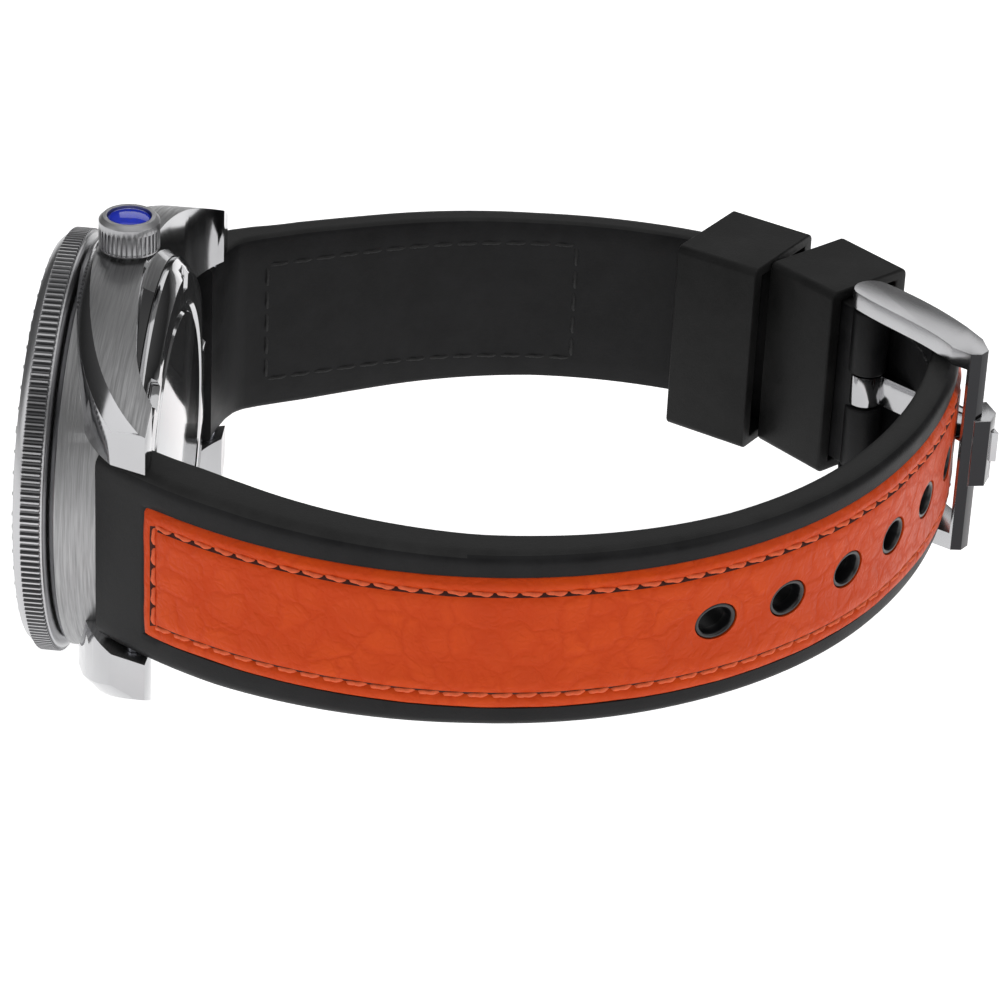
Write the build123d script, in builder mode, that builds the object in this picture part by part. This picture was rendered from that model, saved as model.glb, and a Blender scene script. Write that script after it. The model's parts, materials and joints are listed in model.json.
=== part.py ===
"""Diver's wristwatch on a closed rubber and leather strap, in millimetres.

X runs from the dial to the caseback and on to the buckle, Y from 6 o'clock to
12 o'clock, Z towards the crown at 3 o'clock. The origin is the centre of the
caseback's flat outer face.
"""

import os
from math import atan2, cos, degrees, pi, radians, sin

from build123d import *

os.makedirs("parts", exist_ok=True)

# driving dimensions
bezel_radius = 20.5
keeper_wall = 1.5
free_keeper_at = 60.6
fixed_keeper_at = 70.3
frame_half = 10.9
frame_turn = -42.0
tongue_half = 1.6
tongue_play = (-1, 1, 3)
bezel_front = -12.2
bezel_back = -9.1
bezel_teeth = 120
neck_radius = 16.8
case_front = -8.9
case_body_radius = 19.7
flank_height = 21.0
flank_radius = 44.0
lug_tip_y = 24.0
lug_gap = 20.1
case_bore = 16.2
back_radius = 18.4
back_face_radius = 17.0
crystal_radius = 15.6
dial_radius = 14.8
dial_x = -8.0
plate_x = -7.3
stem_x = -4.7
crown_radius = 2.9
crown_low = 21.2
crown_high = 24.4
bar_x = -0.4
bar_y = 21.2
strap_half_width = 9.8
tail_half_width = 8.8
inlay_half_width = 6.7
inlay_depth = 0.8
hole_pitch = 8.2
first_hole = 62.0
hole_count = 8
keeper_half = 10.2
crown_ribs = 36
arbor_radius = 0.2
pivot_hole = 0.26
jewel_radius = 0.5
train_gap = 4.26
escape_gap = 3.76
barrel_gap = 5.81
bridge_x = -3.9
bridge_thick = 0.6
screw_places = [(-12.9, -2.5), (-6.0, -11.4), (3.2, -12.5), (12.5, -3.3), (12.6, 3.9), (-9.6, 8.6)]

# the long strap's outer face and the short strap's inner face, seen along Z:
# each is a start, a heading and a chain of tangent arcs (length, turn)
long_start = (-4.3, -20.1)
long_heading = -39.5
long_arcs = [(14, 15.5), (20, 23), (24, 31), (26, 32), (24, 23), (14.4, 52), (10, 1), (3, 3.5)]
long_thickness = [(0, 4.4), (10, 5.2), (20, 4.9), (45, 4.2), (65, 3.3), (108, 2.9), (132, 2.75), (136, 2.6)]
short_start = (0.2, 19.6)
short_heading = 85
short_arcs = [(5, -10), (4, -46), (14, -3), (16, -20), (15, -18), (3, -16), (5.4, 0), (3, -16), (12, 0)]
short_thickness = [(0, 4.6), (6, 4.2), (12, 3.4), (50, 3.1), (78, 3.1)]


def chain_point(start, heading, arcs, along):
    """Point and heading (radians) at a distance along a chain of tangent arcs."""
    x, y, angle = start[0], start[1], radians(heading)
    for length, turn in arcs:
        step = min(along, length)
        bend = radians(turn) / length
        if abs(bend) < 1e-9:
            x, y = x + step * cos(angle), y + step * sin(angle)
        else:
            x += (sin(angle + bend * step) - sin(angle)) / bend
            y -= (cos(angle + bend * step) - cos(angle)) / bend
        angle += bend * step
        along -= step
        if along <= 0:
            break
    return x, y, angle


def ramp(table, along):
    """Value at a distance along, straight between the pairs of a table."""
    for (low, a), (high, b) in zip(table, table[1:]):
        if along <= high:
            return a + (b - a) * max(0, along - low) / (high - low)
    return table[-1][1]


def long_point(along, depth=0.0):
    """Point of the long strap at a depth under its outer face, and the heading."""
    x, y, angle = chain_point(long_start, long_heading, long_arcs, along)
    return x - sin(angle) * depth, y + cos(angle) * depth, angle


def short_point(along, depth=0.0):
    """Point of the short strap at a depth over its inner face, and the heading."""
    x, y, angle = chain_point(short_start, short_heading, short_arcs, along)
    return x - sin(angle) * depth, y + cos(angle) * depth, angle


def stations(low, high, step):
    """Evenly spaced distances that include both ends."""
    count = max(2, round((high - low) / step))
    return [low + (high - low) * i / count for i in range(count + 1)]


def save(piece, name):
    """Label a finished piece and write its STEP file."""
    piece.part.label = name
    export_step(piece.part, f"parts/{name}.step")


def gear_outline(teeth, tip, root):
    """Points of a plain trapezoid tooth wheel round the origin."""
    points = []
    for tooth in range(teeth):
        for part, radius in ((0.0, root), (0.2, tip), (0.5, tip), (0.7, root)):
            angle = 2 * pi * (tooth + part) / teeth
            points.append((radius * cos(angle), radius * sin(angle)))
    return points


long_length = sum(length for length, turn in long_arcs)
short_length = sum(length for length, turn in short_arcs)
end_x, end_y, end_angle = short_point(short_length, 1.55)
buckle_x, buckle_y = end_x, end_y

# ---------------------------------------------------------------- case

with BuildPart() as mid_case:
    with BuildSketch(Plane.XY):
        with BuildLine():
            half = [(case_front, 0), (-8.5, 6), (-7.4, 12), (-5.4, 18), (-2.4, 22.6)]
            Spline(*[(x, -y) for x, y in half[:0:-1]], *half)
            Line((-2.4, 22.6), (1.0, lug_tip_y))
            back_half = [(1.1, 21.0), (-0.6, 17.9), (-1.9, 12), (-2.8, 0)]
            Spline(*back_half, *[(x, -y) for x, y in back_half[2::-1]])
            Line((1.0, lug_tip_y), (1.1, 21.0))
            Line((1.1, -21.0), (1.0, -lug_tip_y))
            Line((1.0, -lug_tip_y), (-2.4, -22.6))
        make_face()
    extrude(amount=flank_height, both=True)
    with BuildSketch(Plane.YZ):
        with Locations((0, flank_height - flank_radius)):
            Circle(flank_radius)
        with Locations((0, flank_radius - flank_height)):
            Circle(flank_radius, mode=Mode.INTERSECT)
    extrude(amount=20, both=True, mode=Mode.INTERSECT)
    flanks = mid_case.faces().filter_by(lambda f: abs(f.center().Z) > 15)
    chamfer(flanks.edges().filter_by(lambda e: e.center().X < -4 and e.length > 15), length=1.2)
    with BuildSketch(Plane.YZ.offset(-14)):
        with Locations((bar_y, 0), (-bar_y, 0)):
            Rectangle(12, lug_gap)
    extrude(amount=18, mode=Mode.SUBTRACT)
    with BuildSketch(Plane.XY):
        with BuildLine():
            Polyline(
                (case_front, 0), (case_front, case_body_radius - 0.6), (-8.3, case_body_radius),
                (-3.4, case_body_radius), (-1.7, back_radius + 0.1), (-1.7, 0), close=True,
            )
        make_face()
    revolve(axis=Axis.X)
    # neck that carries the bezel and holds the crystal
    with BuildSketch(Plane.XY):
        with BuildLine():
            Polyline(
                (case_front - 0.1, 15), (-11.9, 15), (-11.9, neck_radius), (-10.3, neck_radius),
                (-10.3, neck_radius - 0.6), (-9.7, neck_radius - 0.6), (-9.7, neck_radius),
                (case_front + 0.1, neck_radius), (case_front + 0.1, 15), close=True,
            )
        make_face()
    revolve(axis=Axis.X)
    # movement room, dial step, crystal seat and caseback seat
    with BuildSketch(Plane.XY):
        with BuildLine():
            Polyline(
                (0, 0), (-14, 0), (-14, 16.1), (-10.4, 16.1), (-10.4, 15.65), (-8.45, 15.65),
                (-8.45, 15.0), (-7.3, 15.0), (-7.3, case_bore),
                (-3.0, case_bore), (-3.0, 17.6), (-1.7, 17.6), (-1.7, back_radius + 0.1),
                (2, back_radius + 0.1), (2, 0), close=True,
            )
        make_face()
    revolve(axis=Axis.X, mode=Mode.SUBTRACT)
    # click spring groove, crown seat, tube bore and spring bar holes
    with BuildSketch(Plane.XY):
        with Locations((case_front + 0.2, 18.25)):
            Rectangle(0.4, 1.5)
    revolve(axis=Axis.X, mode=Mode.SUBTRACT)
    with BuildSketch(Plane.XY.offset(20.7)):
        with Locations((stem_x, 0)):
            Circle(crown_radius + 0.25)
    extrude(amount=2, mode=Mode.SUBTRACT)
    with BuildSketch(Plane.XY.offset(15)):
        with Locations((stem_x, 0)):
            Circle(1.5)
    extrude(amount=8, mode=Mode.SUBTRACT)
    with BuildSketch(Plane.XY.offset(-11.4)):
        with Locations((bar_x, bar_y), (bar_x, -bar_y)):
            Circle(0.45)
    extrude(amount=22.8, mode=Mode.SUBTRACT)
save(mid_case, "mid_case")

with BuildPart() as crown_tube:
    with BuildSketch(Plane.XY.offset(16.4)):
        with Locations((stem_x, 0)):
            Circle(1.48)
            Circle(0.85, mode=Mode.SUBTRACT)
    extrude(amount=5.7)
save(crown_tube, "crown_tube")

with BuildPart() as caseback:
    with BuildSketch(Plane.XY):
        with BuildLine():
            Polyline(
                (-2.0, 0), (-2.0, 16.0), (-2.9, 16.0), (-2.9, 17.5), (-1.6, 17.5), (-1.6, back_radius),
                (-1.1, back_radius), (0, back_face_radius), (0, 14.4), (-0.35, 14.1), (-0.35, 13.4),
                (0, 13.2), (0, 0), close=True,
            )
        make_face()
    revolve(axis=Axis.X)
    with BuildSketch(Plane.YZ.offset(-0.7)):
        with PolarLocations(16.6, 6, start_angle=15):
            Rectangle(2.2, 2.6)
    extrude(amount=1.2, mode=Mode.SUBTRACT)
save(caseback, "caseback")

with BuildPart() as caseback_gasket:
    with BuildSketch(Plane.XY):
        with Locations((-1.65, 18.0)):
            Rectangle(0.08, 0.7)
    revolve(axis=Axis.X)
save(caseback_gasket, "caseback_gasket")

with BuildPart() as crystal:
    with BuildSketch(Plane.XY):
        with BuildLine():
            Polyline(
                (-10.4, 0), (-10.4, crystal_radius), (-12.2, crystal_radius),
                (-12.6, crystal_radius - 0.4), (-12.6, 0), close=True,
            )
        make_face()
    revolve(axis=Axis.X)
save(crystal, "crystal")

with BuildPart() as crystal_gasket:
    with BuildSketch(Plane.XY):
        with Locations((-11.15, 15.85)):
            Rectangle(1.5, 0.48)
    revolve(axis=Axis.X)
save(crystal_gasket, "crystal_gasket")

with BuildPart() as chapter_ring:
    with BuildSketch(Plane.XY):
        with BuildLine():
            Polyline(
                (-10.38, 15.6), (-10.38, 14.9), (-8.5, 13.9), (-8.22, 13.9),
                (-8.22, 14.95), (-8.5, 14.95), (-8.5, 15.6), close=True,
            )
        make_face()
    revolve(axis=Axis.X)
save(chapter_ring, "chapter_ring")

# ---------------------------------------------------------------- bezel

with BuildPart() as bezel_ring:
    with BuildSketch(Plane.XY):
        with BuildLine():
            Polyline(
                (bezel_back, neck_radius + 0.06), (bezel_back, bezel_radius - 0.5), (-9.4, bezel_radius),
                (-11.3, bezel_radius), (-11.9, bezel_radius - 0.3), (bezel_front, bezel_radius - 1.0),
                (-11.8, bezel_radius - 1.0), (-11.8, 17.1), (-12.3, 17.1), (-12.3, neck_radius + 0.06),
                close=True,
            )
        make_face()
    revolve(axis=Axis.X)
    with BuildSketch(Plane.YZ.offset(-11.35)):
        with PolarLocations(bezel_radius + 0.1, bezel_teeth):
            Rectangle(0.9, 0.45)
    extrude(amount=2.0, mode=Mode.SUBTRACT)
save(bezel_ring, "bezel_ring")

with BuildPart() as bezel_insert:
    with BuildSketch(Plane.XY):
        with BuildLine():
            Polyline((-11.82, 17.15), (-11.82, 19.45), (-12.15, 19.45), (-12.45, 17.15), close=True)
        make_face()
    revolve(axis=Axis.X)
    with BuildSketch(Plane.YZ.offset(-13)):
        with Locations((18.3, 0)):
            Circle(0.72)
    extrude(amount=2, mode=Mode.SUBTRACT)
save(bezel_insert, "bezel_insert")

with BuildPart() as bezel_pip:
    with BuildSketch(Plane.YZ.offset(-12.45)):
        with Locations((18.3, 0)):
            Circle(0.7)
    extrude(amount=0.62)
save(bezel_pip, "bezel_pip")

with BuildPart() as bezel_gasket:
    with BuildSketch(Plane.XY):
        with Locations((-10.0, 16.48)):
            Rectangle(0.5, 0.52)
    revolve(axis=Axis.X)
save(bezel_gasket, "bezel_gasket")

with BuildPart() as bezel_click_spring:
    with BuildSketch(Plane.YZ.offset(case_front + 0.02)):
        Circle(18.9)
        Circle(17.6, mode=Mode.SUBTRACT)
        with Locations((0, -18.2)):
            Rectangle(3, 2, mode=Mode.SUBTRACT)
    extrude(amount=0.3)
save(bezel_click_spring, "bezel_click_spring")

# ---------------------------------------------------------------- crown and stem

with BuildPart() as crown:
    with BuildSketch(Plane.XY.offset(crown_low)):
        with Locations((stem_x, 0)):
            Circle(crown_radius)
    extrude(amount=crown_high - crown_low)
    chamfer(crown.edges().sort_by(Axis.Z)[-1], length=0.4)
    with BuildSketch(Plane.XY.offset(crown_low)):
        with Locations((stem_x, 0)):
            Circle(2.2)
    extrude(amount=1.4, mode=Mode.SUBTRACT)
    with BuildSketch(Plane.XY.offset(crown_high)):
        with Locations((stem_x, 0)):
            Circle(2.12)
    extrude(amount=-0.5, mode=Mode.SUBTRACT)
    with BuildSketch(Plane.XY.offset(crown_low + 0.2)):
        with Locations((stem_x, 0)):
            with PolarLocations(crown_radius + 0.1, crown_ribs):
                Rectangle(0.55, 0.32)
    extrude(amount=1.9, mode=Mode.SUBTRACT)
save(crown, "crown")

with BuildPart() as crown_cap:
    with BuildSketch(Plane.XY.offset(crown_high - 0.5)):
        with Locations((stem_x, 0)):
            Circle(2.1)
    extrude(amount=0.75)
    fillet(crown_cap.edges().sort_by(Axis.Z)[-1], radius=0.3)
save(crown_cap, "crown_cap")

with BuildPart() as crown_gasket:
    with BuildSketch(Plane.XY.offset(crown_low + 0.95)):
        with Locations((stem_x, 0)):
            Circle(2.15)
            Circle(1.0, mode=Mode.SUBTRACT)
    extrude(amount=0.4)
save(crown_gasket, "crown_gasket")

with BuildPart() as winding_stem:
    for low, high, radius in ((6.6, 9.4, 0.5), (9.4, 15.8, 0.45), (15.8, crown_low + 1.4, 0.7)):
        with BuildSketch(Plane.XY.offset(low)):
            with Locations((stem_x, 0)):
                Circle(radius)
        extrude(amount=high - low)
save(winding_stem, "winding_stem")

with BuildPart() as clutch_wheel:
    with BuildSketch(Plane.XY.offset(7.2)):
        with Locations((stem_x, 0)):
            Circle(1.0)
            with PolarLocations(1.0, 12):
                Rectangle(0.3, 0.22, mode=Mode.SUBTRACT)
            Circle(0.52, mode=Mode.SUBTRACT)
    extrude(amount=1.9)
save(clutch_wheel, "clutch_wheel")

with BuildPart() as setting_lever:
    with BuildSketch(Plane.XY.offset(10.2)):
        with Locations((stem_x, 0)):
            Circle(0.85)
            with Locations((0, 0.8)):
                Rectangle(0.5, 0.7)
            Circle(0.5, mode=Mode.SUBTRACT)
    extrude(amount=0.4)
save(setting_lever, "setting_lever")

# ---------------------------------------------------------------- movement

with BuildPart() as movement_ring:
    with BuildSketch(Plane.YZ.offset(-7.2)):
        Circle(case_bore - 0.05)
        Circle(13.9, mode=Mode.SUBTRACT)
    extrude(amount=4.0)
    with BuildSketch(Plane.XY.offset(10)):
        with Locations((stem_x, 0)):
            Circle(0.9)
    extrude(amount=8, mode=Mode.SUBTRACT)
save(movement_ring, "movement_ring")

third_place = (train_gap * cos(radians(150)), train_gap * sin(radians(150)))
escape_place = (escape_gap * cos(radians(20)), escape_gap * sin(radians(20)))
balance_place = (8.6 * cos(radians(-35)), 8.6 * sin(radians(-35)))
barrel_place = (barrel_gap * cos(radians(225)), barrel_gap * sin(radians(225)))
fork_place = (
    escape_place[0] + 0.42 * (balance_place[0] - escape_place[0]),
    escape_place[1] + 0.42 * (balance_place[1] - escape_place[1]),
)

with BuildPart() as main_plate:
    with BuildSketch(Plane.YZ.offset(plate_x)):
        Circle(13.8)
    extrude(amount=2.0)
    with BuildSketch(Plane.YZ.offset(plate_x)):
        Circle(3.0)
    extrude(amount=0.7, mode=Mode.SUBTRACT)
    with BuildSketch(Plane.YZ.offset(plate_x + 0.65)):
        with Locations(barrel_place):
            Circle(5.15)
        Circle(0.85)
    extrude(amount=1.4, mode=Mode.SUBTRACT)
    with BuildSketch(Plane.YZ.offset(plate_x - 0.1)):
        Circle(0.62)
        with Locations(third_place, escape_place, fork_place, balance_place):
            Circle(pivot_hole)
    extrude(amount=2.2, mode=Mode.SUBTRACT)
    with BuildSketch(Plane.YZ.offset(stem_x - 1.15)):
        with Locations((0, 11.0)):
            Rectangle(2.5, 9.2)
    extrude(amount=1.0, mode=Mode.SUBTRACT)
save(main_plate, "main_plate")


def bridge(outline_points):
    """Bridge plate over the train with two feet down to the main plate."""
    with BuildPart() as plate:
        with BuildSketch(Plane.YZ.offset(bridge_x)):
            Circle(13.6)
            with BuildLine():
                Polyline(*outline_points, close=True)
            make_face(mode=Mode.INTERSECT)
        extrude(amount=bridge_thick)
        with BuildSketch(Plane.YZ.offset(plate_x + 2.0)):
            Circle(13.6)
            Circle(12.3, mode=Mode.SUBTRACT)
            with BuildLine():
                Polyline(*outline_points, close=True)
            make_face(mode=Mode.INTERSECT)
        extrude(amount=bridge_x - plate_x - 2.0)
        with BuildSketch(Plane.YZ.offset(bridge_x)):
            Circle(0.3)
            with Locations(third_place, escape_place, fork_place, balance_place):
                Circle(jewel_radius)
            with Locations(barrel_place):
                Circle(0.65)
            with Locations(*screw_places):
                Circle(0.5)
        extrude(amount=bridge_thick, mode=Mode.SUBTRACT)
    return plate


barrel_bridge = bridge([(-14, -14), (-1.4, -14), (-1.4, -3.6), (-5.6, 6.2), (-14, 6.2)])
save(barrel_bridge, "barrel_bridge")
train_bridge = bridge([
    (-14, 6.5), (-5.5, 6.5), (-1.1, -3.5), (6.0, -0.5), (14, 2.0), (14, 6),
    (1.6, 6), (1.6, 6.1), (-1.6, 6.1), (-1.6, 14), (-14, 14),
])
save(train_bridge, "train_bridge")
balance_cock = bridge([(-1.1, -14), (-1.1, -3.9), (6.2, -0.8), (14, 1.7), (14, -14)])
save(balance_cock, "balance_cock")

with BuildPart() as movement_screws:
    with BuildSketch(Plane.YZ.offset(bridge_x + 0.05)):
        with Locations(*screw_places):
            Circle(0.48)
    extrude(amount=bridge_thick)
    with BuildSketch(Plane.YZ.offset(bridge_x + bridge_thick)):
        with Locations(*screw_places):
            Rectangle(1.2, 0.18)
    extrude(amount=0.2, mode=Mode.SUBTRACT)
save(movement_screws, "movement_screws")

with BuildPart() as jewels:
    for place in (third_place, escape_place, fork_place, balance_place):
        with BuildSketch(Plane.YZ.offset(bridge_x)):
            with Locations(place):
                Circle(jewel_radius - 0.01)
                Circle(pivot_hole, mode=Mode.SUBTRACT)
        extrude(amount=bridge_thick + 0.02)
save(jewels, "jewels")

with BuildPart() as mainspring_barrel:
    with BuildSketch(Plane.YZ.offset(plate_x + 0.7)):
        with Locations(barrel_place):
            Circle(5.0)
            Circle(0.85, mode=Mode.SUBTRACT)
    extrude(amount=1.25)
    with BuildSketch(Plane.YZ.offset(plate_x + 0.9)):
        with Locations(barrel_place):
            Circle(4.5)
            Circle(0.85, mode=Mode.SUBTRACT)
    extrude(amount=0.85, mode=Mode.SUBTRACT)
    with BuildSketch(Plane.YZ.offset(plate_x + 0.7)):
        with Locations(barrel_place):
            with PolarLocations(5.0, 60):
                Rectangle(0.4, 0.24)
    extrude(amount=1.25, mode=Mode.SUBTRACT)
save(mainspring_barrel, "mainspring_barrel")


def spiral(centre, x_low, height, first, pitch, turns, thick):
    """Flat spring wound of half rings whose centres step from side to side."""
    with BuildPart() as spring:
        with BuildSketch(Plane.YZ.offset(x_low)):
            for half_turn in range(2 * turns):
                radius = first + pitch * half_turn / 2
                side = 1 if half_turn % 2 else -1
                with Locations((centre[0] + side * pitch / 4, centre[1])):
                    half_ring = [
                        (radius * cos(pi * i / 12) * side, radius * sin(pi * i / 12) * side)
                        for i in range(13)
                    ]
                    shrink = 1 - thick / radius
                    inner_ring = [(x * shrink, y * shrink) for x, y in half_ring[::-1]]
                    Polygon(*half_ring, *inner_ring, align=None)
        extrude(amount=height)
    return spring


mainspring = spiral(barrel_place, plate_x + 1.0, 0.6, 2.2, 0.42, 5, 0.16)
save(mainspring, "mainspring")
hairspring = spiral(balance_place, -4.08, 0.12, 0.85, 0.3, 6, 0.07)
save(hairspring, "hairspring")

with BuildPart() as barrel_arbor:
    with BuildSketch(Plane.YZ.offset(plate_x + 0.72)):
        with Locations(barrel_place):
            Circle(0.8)
    extrude(amount=1.2)
    with BuildSketch(Plane.YZ.offset(plate_x + 1.92)):
        with Locations(barrel_place):
            Circle(0.6)
    extrude(amount=2.28)
save(barrel_arbor, "barrel_arbor")

with BuildPart() as ratchet_wheel:
    with BuildSketch(Plane.YZ.offset(bridge_x + bridge_thick + 0.02)):
        with Locations(barrel_place):
            Polygon(*gear_outline(36, 2.6, 2.35), align=None)
            Circle(0.62, mode=Mode.SUBTRACT)
    extrude(amount=0.12)
save(ratchet_wheel, "ratchet_wheel")


def train_wheel(
    place, wheel_x, wheel_teeth, wheel_tip, pinion_x, pinion_high, pinion_tip, low, high, bore=0.0,
):
    """Toothed wheel with four spokes, its pinion and its arbor."""
    with BuildPart() as wheel:
        with BuildSketch(Plane.YZ.offset(wheel_x)):
            with Locations(place):
                Polygon(*gear_outline(wheel_teeth, wheel_tip, wheel_tip - 0.25), align=None)
                with PolarLocations(wheel_tip * 0.52, 4, start_angle=45):
                    Circle(wheel_tip * 0.24, mode=Mode.SUBTRACT)
        extrude(amount=0.2)
        with BuildSketch(Plane.YZ.offset(pinion_x)):
            with Locations(place):
                Polygon(*gear_outline(8, pinion_tip, pinion_tip - 0.18), align=None)
        extrude(amount=pinion_high)
        with BuildSketch(Plane.YZ.offset(low)):
            with Locations(place):
                Circle(arbor_radius if not bore else 0.5)
        extrude(amount=high - low)
        if bore:
            with BuildSketch(Plane.YZ.offset(low)):
                with Locations(place):
                    Circle(bore)
            extrude(amount=high - low + 4, mode=Mode.SUBTRACT)
    return wheel


centre_wheel = train_wheel((0, 0), -5.15, 64, 3.6, -6.55, 1.4, 0.7, -9.3, -4.8, 0.3)
save(centre_wheel, "centre_wheel")
third_wheel = train_wheel(third_place, -4.75, 60, 3.5, -5.2, 0.5, 0.6, -7.1, -3.45)
save(third_wheel, "third_wheel")
fourth_wheel = train_wheel((0, 0), -4.3, 56, 3.2, -4.77, 0.5, 0.7, -9.9, -3.45)
save(fourth_wheel, "fourth_wheel")
escape_wheel = train_wheel(escape_place, -4.85, 15, 1.9, -4.4, 0.45, 0.5, -7.1, -3.45)
save(escape_wheel, "escape_wheel")

with BuildPart() as hour_wheel:
    with BuildSketch(Plane.YZ.offset(-7.3)):
        Polygon(*gear_outline(40, 2.6, 2.35), align=None)
    extrude(amount=0.3)
    with BuildSketch(Plane.YZ.offset(-8.95)):
        Circle(0.82)
    extrude(amount=1.8)
    with BuildSketch(Plane.YZ.offset(-9)):
        Circle(0.56)
    extrude(amount=2.2, mode=Mode.SUBTRACT)
save(hour_wheel, "hour_wheel")

fork_turn = degrees(atan2(balance_place[1] - escape_place[1], balance_place[0] - escape_place[0]))
with BuildPart() as pallet_fork:
    with BuildSketch(Plane.YZ.offset(-4.82)):
        with Locations(Location((fork_place[0], fork_place[1], 0), fork_turn)):
            with Locations((0.75, 0)):
                Rectangle(2.3, 0.3)
            Rectangle(0.3, 2.2)
            Circle(0.3)
    extrude(amount=0.15)
    with BuildSketch(Plane.YZ.offset(-7.1)):
        with Locations(fork_place):
            Circle(arbor_radius)
    extrude(amount=3.65)
save(pallet_fork, "pallet_fork")

with BuildPart() as balance_wheel:
    with BuildSketch(Plane.YZ.offset(-4.45)):
        with Locations(balance_place):
            Circle(3.6)
            Circle(3.2, mode=Mode.SUBTRACT)
            Rectangle(6.6, 0.5)
            Circle(0.6)
    extrude(amount=0.3)
    with BuildSketch(Plane.YZ.offset(-7.1)):
        with Locations(balance_place):
            Circle(arbor_radius)
    extrude(amount=3.65)
save(balance_wheel, "balance_wheel")

with BuildPart() as rotor_bearing:
    with BuildSketch(Plane.YZ.offset(bridge_x + bridge_thick + 0.01)):
        Circle(0.7)
    extrude(amount=0.95)
save(rotor_bearing, "rotor_bearing")

with BuildPart() as rotor:
    with BuildSketch(Plane.YZ.offset(-2.95)):
        Circle(12.6)
        with Locations((0, 7)):
            Rectangle(30, 14, mode=Mode.INTERSECT)
        Circle(2.4)
        Circle(0.75, mode=Mode.SUBTRACT)
    extrude(amount=0.5)
    with BuildSketch(Plane.YZ.offset(-2.7)):
        Circle(10.6)
        Circle(3.0, mode=Mode.SUBTRACT)
        with Locations((0, 8)):
            Rectangle(22, 13, mode=Mode.INTERSECT)
    extrude(amount=0.4, mode=Mode.SUBTRACT)
save(rotor, "rotor")

# ---------------------------------------------------------------- dial and hands

with BuildPart() as dial:
    with BuildSketch(Plane.YZ.offset(dial_x - 0.2)):
        Circle(dial_radius)
        Circle(0.95, mode=Mode.SUBTRACT)
    extrude(amount=0.4)
save(dial, "dial")

with BuildPart() as hour_markers:
    with BuildSketch(Plane.YZ.offset(dial_x - 0.5)):
        for hour in range(1, 12):
            turn = 30 * hour
            with Locations(Location((11.6 * cos(radians(turn)), 11.6 * sin(radians(turn)), 0), turn)):
                if hour % 3:
                    Circle(1.05)
                else:
                    Rectangle(3.2, 1.5)
        with Locations((11.6, 0)):
            Polygon((-1.7, 0), (1.5, -1.6), (1.5, 1.6), align=None)
    extrude(amount=0.3)
save(hour_markers, "hour_markers")


def hand(layer, hub, hole, outline_points):
    """Flat hand on the centre axis, pointing to 12 o'clock."""
    with BuildPart() as pointer:
        with BuildSketch(Plane.YZ.offset(layer)):
            Polygon(*outline_points, align=None)
            Circle(hub)
            Circle(hole, mode=Mode.SUBTRACT)
        extrude(amount=0.18)
    return pointer


hour_hand = hand(-8.95, 1.25, 0.84, [(-2, -0.7), (6.2, -0.9), (8.4, 0), (6.2, 0.9), (-2, 0.7)])
save(hour_hand, "hour_hand")
minute_hand = hand(-9.35, 1.05, 0.52, [(-2.4, -0.55), (10.5, -0.75), (12.6, 0), (10.5, 0.75), (-2.4, 0.55)])
save(minute_hand, "minute_hand")
seconds_hand = hand(-9.8, 0.7, 0.22, [
    (-4.2, -0.35), (8.4, -0.12), (13.2, -0.08), (13.2, 0.08), (8.4, 0.12), (-4.2, 0.35),
])
save(seconds_hand, "seconds_hand")

# ---------------------------------------------------------------- strap


def band(point, low, high, top, bottom):
    """Plan outline between two depths of a strap, closed by straight ends."""
    with BuildSketch(Plane.XY) as outline:
        with BuildLine():
            upper = Spline(*[point(s, top(s))[:2] for s in stations(low, high, 6)])
            lower = Spline(*[point(s, bottom(s))[:2] for s in stations(low, high, 6)])
            Line(upper @ 0, lower @ 0)
            Line(upper @ 1, lower @ 1)
        make_face()
    return outline.sketch


def width_wedge(half_root, half_tail):
    """Side view of a width that narrows from the lugs to the tail."""
    points = [(-8, half_root), (8, half_root), (32, half_tail + 0.2), (90, half_tail)]
    with BuildSketch(Plane.XZ) as wedge:
        with BuildLine():
            Polyline(*points, *[(x, -z) for x, z in points[::-1]], close=True)
        make_face()
    return wedge.sketch


def surface_plane(along, depth=0.0):
    """Plane on the long strap: x along it, z out of its outer face."""
    x, y, angle = long_point(along, depth)
    return Plane(origin=(x, y, 0), x_dir=(cos(angle), sin(angle), 0), z_dir=(sin(angle), -cos(angle), 0))


def head_room(grow):
    """Turned outline of the case and caseback that a strap's end clears."""
    with BuildSketch(Plane.XY) as room:
        with BuildLine():
            Polyline(
                (-14, 0), (-14, case_body_radius + grow), (-1.4, case_body_radius + grow),
                (-1.4, back_radius + grow), (0.6, back_radius + grow), (0.6, 0), close=True,
            )
        make_face()
    return room.sketch


frame_plane = Plane(
    origin=(buckle_x, buckle_y, 0),
    x_dir=(cos(radians(frame_turn)), sin(radians(frame_turn)), 0), z_dir=(0, 0, 1),
)


def tongue_outline(grow, turn=0.0):
    """Side view of the tongue, swollen by a margin and turned about its bar."""
    with BuildSketch(frame_plane) as tongue:
        with Locations(Location((0, 0, 0), turn)):
            Polygon(
                (0, 0.5), (3, 0.6), (9, 1.0), (13.0, 1.3), (16.4, 0.2),
                (17.0, 0.9), (13.6, 2.5), (9, 2.1), (3, 1.7), (0, 1.7), align=None,
            )
        if grow:
            offset(amount=grow)
    return tongue.sketch


hole_places = [first_hole + hole_pitch * i for i in range(hole_count)]
inlay_low, inlay_high = 6.3, long_length - 7.0

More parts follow.
